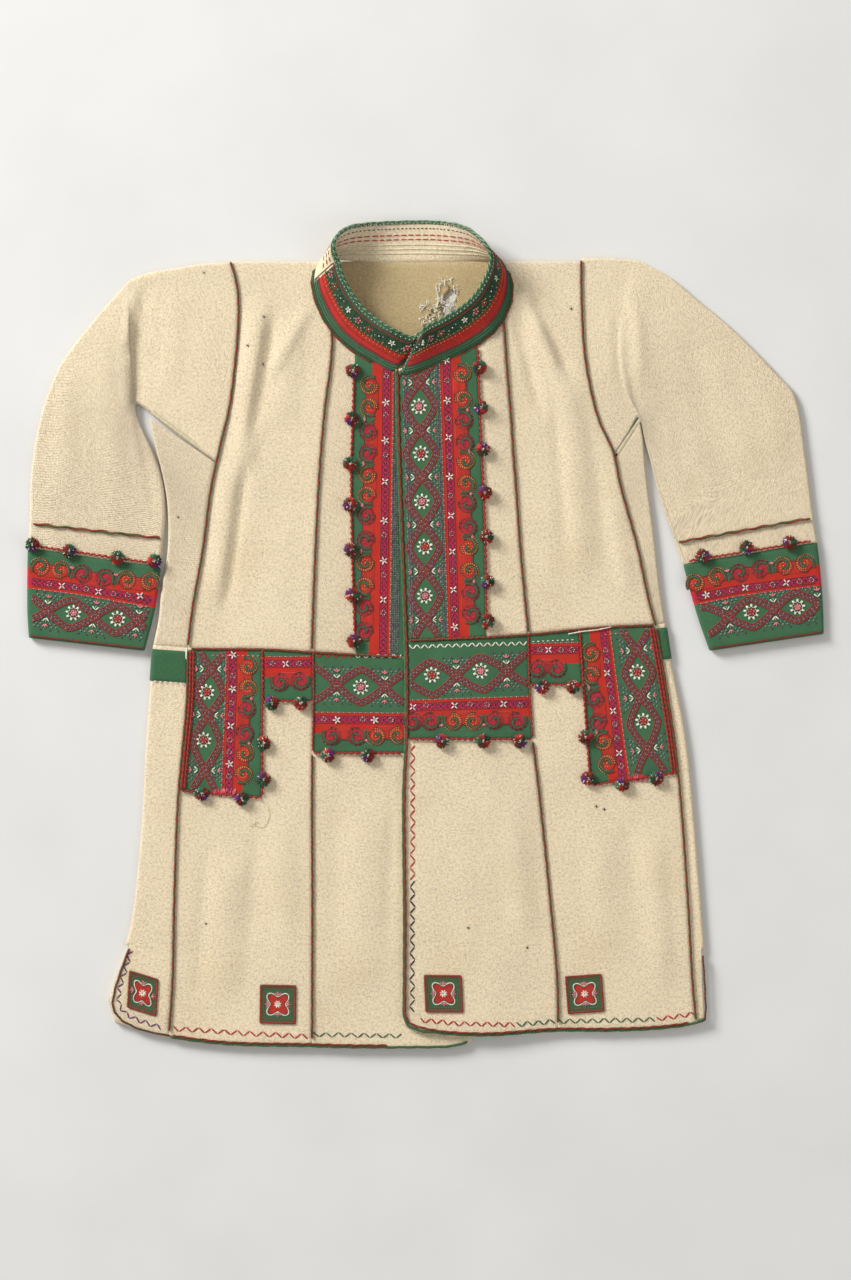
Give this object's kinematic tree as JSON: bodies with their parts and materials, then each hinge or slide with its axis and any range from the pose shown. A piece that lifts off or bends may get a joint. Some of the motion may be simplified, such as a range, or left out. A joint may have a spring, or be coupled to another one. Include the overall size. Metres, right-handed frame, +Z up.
{
  "type": "coat",
  "caption": "Long-sleeved coat of thick cream wool with a stand collar, overlapping front, flared skirt and sewn-on green and red bands, laid flat on its back.",
  "frame": {"origin": "middle of the outline, on the surface that the coat lies on", "axes": "+X to the reader's right, +Y from the hem to the collar, +Z up from the surface"},
  "size_m": [0.836, 0.8674, 0.0434],
  "materials": {
    "cream_wool": "fulled wool",
    "green_cloth": "green woollen cloth",
    "red_cloth": "red woollen cloth",
    "brown_cord": "twisted wool cord",
    "dark_red_yarn": "cut wool yarn"
  },
  "bodies": {
    "root": {"back_skirt": "cream_wool", "back_upper": "cream_wool", "chest_band_left": "red_cloth", "chest_band_right": "red_cloth", "collar": "green_cloth", "cord_armhole_left": "brown_cord", "cord_armhole_right": "brown_cord", "cord_front_edge": "brown_cord", "cord_hem_left": "brown_cord", "cord_neck_left": "brown_cord", "cord_neck_right": "brown_cord", "cord_princess_left": "brown_cord", "cord_princess_right": "brown_cord", "cord_side_left": "brown_cord", "cord_side_right": "brown_cord", "cord_skirt_left": "brown_cord", "cord_skirt_right": "brown_cord", "cord_sleeve_left": "brown_cord", "cord_sleeve_right": "brown_cord", "cuff_left": "red_cloth", "cuff_right": "red_cloth", "front_centre_left": "cream_wool", "front_centre_right": "cream_wool", "front_side_left": "cream_wool", "front_side_right": "cream_wool", "gore_left": "cream_wool", "gore_right": "cream_wool", "pompons_centre_left": "dark_red_yarn", "pompons_centre_right": "dark_red_yarn", "pompons_chest_left": "dark_red_yarn", "pompons_chest_right": "dark_red_yarn", "pompons_cuff_left": "dark_red_yarn", "pompons_cuff_right": "dark_red_yarn", "pompons_small_left": "dark_red_yarn", "pompons_small_right": "dark_red_yarn", "pompons_tall_left_low": "dark_red_yarn", "pompons_tall_left_side": "dark_red_yarn", "pompons_tall_right_low": "dark_red_yarn", "pompons_tall_right_side": "dark_red_yarn", "side_band_left": "green_cloth", "side_band_right": "green_cloth", "side_left": "cream_wool", "side_right": "cream_wool", "skirt_centre_left": "cream_wool", "skirt_centre_right": "cream_wool", "skirt_piece_centre_left": "red_cloth", "skirt_piece_centre_right": "red_cloth", "skirt_piece_small_left": "red_cloth", "skirt_piece_small_right": "red_cloth", "skirt_piece_tall_left": "red_cloth", "skirt_piece_tall_right": "red_cloth", "skirt_side_left": "cream_wool", "skirt_side_right": "cream_wool", "sleeve_left": "cream_wool", "sleeve_right": "cream_wool", "square_centre": "green_cloth", "square_gore_left": "green_cloth", "square_left": "green_cloth", "square_right": "green_cloth"}
  },
  "joints": []
}
